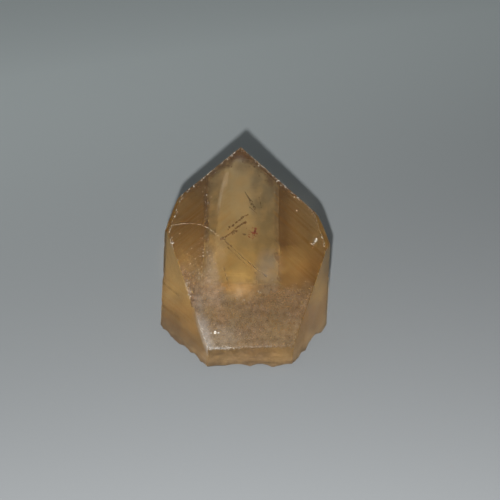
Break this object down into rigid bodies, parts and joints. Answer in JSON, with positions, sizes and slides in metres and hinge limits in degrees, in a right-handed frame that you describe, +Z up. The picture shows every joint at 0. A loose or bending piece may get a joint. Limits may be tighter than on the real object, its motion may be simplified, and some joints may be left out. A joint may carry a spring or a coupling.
{
  "type": "citrine crystal point",
  "caption": "Stout, honey-coloured citrine crystal point: a six-sided prism with one large sloping end face, chipped edges and a broken base that it stands on.",
  "frame": {"origin": "on the resting surface, under the middle of the crystal's outline seen from above", "axes": "+Z up; -Y is the side that the large sloping end face looks towards; the crystal's long axis leans 1.8 degrees from +Z towards +X"},
  "size_m": [0.0324, 0.0286, 0.0344],
  "materials": {
    "citrine": "natural growth faces, glossy above and frosted low down, with a rough broken base"
  },
  "bodies": {
    "root": {"crystal": "citrine"}
  },
  "joints": []
}
